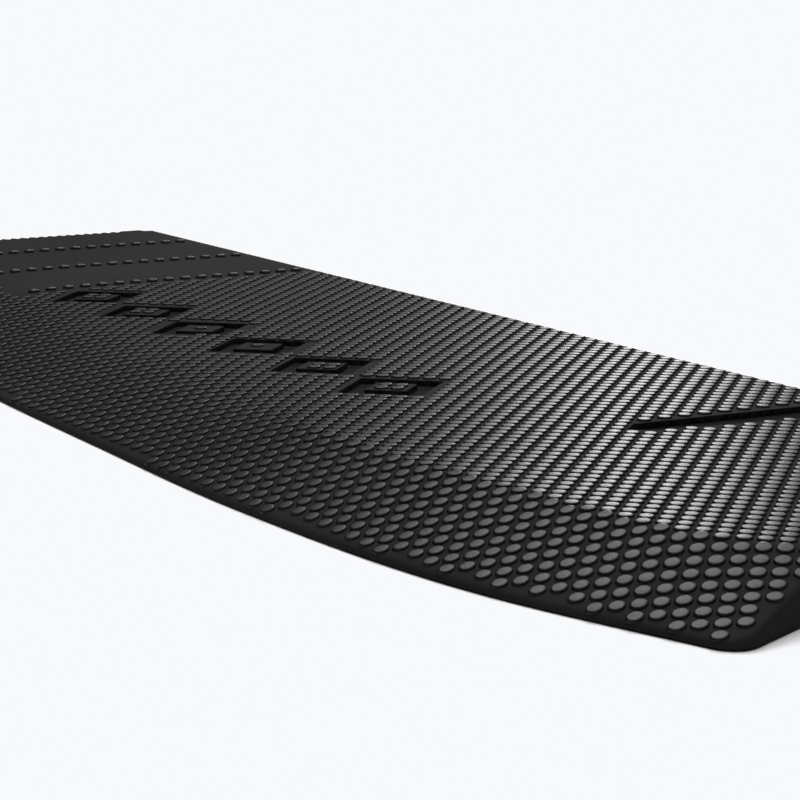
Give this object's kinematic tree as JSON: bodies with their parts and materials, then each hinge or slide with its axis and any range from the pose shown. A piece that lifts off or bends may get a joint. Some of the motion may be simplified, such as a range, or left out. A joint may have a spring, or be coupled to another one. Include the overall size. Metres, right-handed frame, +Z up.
{
  "type": "kiteboard",
  "caption": "Twin-tip kiteboard on corner fins, with a grab handle and strapless dotted rubber footpads that turn on their base plates and lift off them.",
  "frame": {"origin": "on the floor under the middle of the board, which stands on its fins", "axes": "+X along the board, +Y towards the heel rail, +Z up out of the deck"},
  "size_m": [1.38, 0.4198, 0.074],
  "materials": {
    "deck_gelcoat": "satin white gel coat over glass fibre",
    "base_gelcoat": "polished tinted gel coat with the glass weave faintly visible",
    "paulownia": "planed vertical laminated strips",
    "abs_rail": "sanded ABS sidewall",
    "dense_pvc": "cut foam board",
    "brass": "turned brass",
    "acetal": "moulded acetal",
    "stainless": "machined stainless steel",
    "handle_tpu": "soft moulded polyurethane with a fine grain",
    "fin_laminate": "machined glass-fibre sheet, sanded edges",
    "glass_nylon": "glass-filled nylon, fine moulding texture",
    "glass_nylon_grey": "glass-filled nylon",
    "cushion_foam": "closed-cell gel foam",
    "pad_rubber": "moulded rubber-like EVA with raised round dots"
  },
  "bodies": {
    "board": {"base_laminate": "base_gelcoat", "core": "paulownia", "fin_ferrules": "acetal", "fin_inserts": "brass", "fin_left_heel": "fin_laminate", "fin_left_toe": "fin_laminate", "fin_right_heel": "fin_laminate", "fin_right_toe": "fin_laminate", "fin_screws": "stainless", "fin_washers": "stainless", "grab_handle": "handle_tpu", "handle_inserts": "brass", "handle_screws": "stainless", "handle_washers": "stainless", "insert_blocks": "dense_pvc", "left_binding_screws": "stainless", "left_toothed_washers": "glass_nylon_grey", "right_binding_screws": "stainless", "right_toothed_washers": "glass_nylon_grey", "sidewall": "abs_rail", "stance_inserts": "brass", "top_laminate": "deck_gelcoat"},
    "left_plate": {"left_base_plate": "glass_nylon", "left_snap_studs": "acetal"},
    "left_pad": {"left_footpad": "pad_rubber", "left_heel_cushion": "cushion_foam"},
    "right_plate": {"right_base_plate": "glass_nylon", "right_snap_studs": "acetal"},
    "right_pad": {"right_footpad": "pad_rubber", "right_heel_cushion": "cushion_foam"}
  },
  "joints": [
    {"name": "left_stance_angle", "type": "hinge", "parent": "board", "child": "left_plate", "pos_m": [-0.28, 0, 0.035], "axis": [0, 0, 1], "range_deg": [-9, 9]},
    {"name": "left_pad_lift", "type": "slide", "parent": "left_plate", "child": "left_pad", "axis": [0, 0, 1], "range_m": [0, 0.02]},
    {"name": "right_stance_angle", "type": "hinge", "parent": "board", "child": "right_plate", "pos_m": [0.28, 0, 0.035], "axis": [0, 0, 1], "range_deg": [-9, 9]},
    {"name": "right_pad_lift", "type": "slide", "parent": "right_plate", "child": "right_pad", "axis": [0, 0, 1], "range_m": [0, 0.02]}
  ]
}
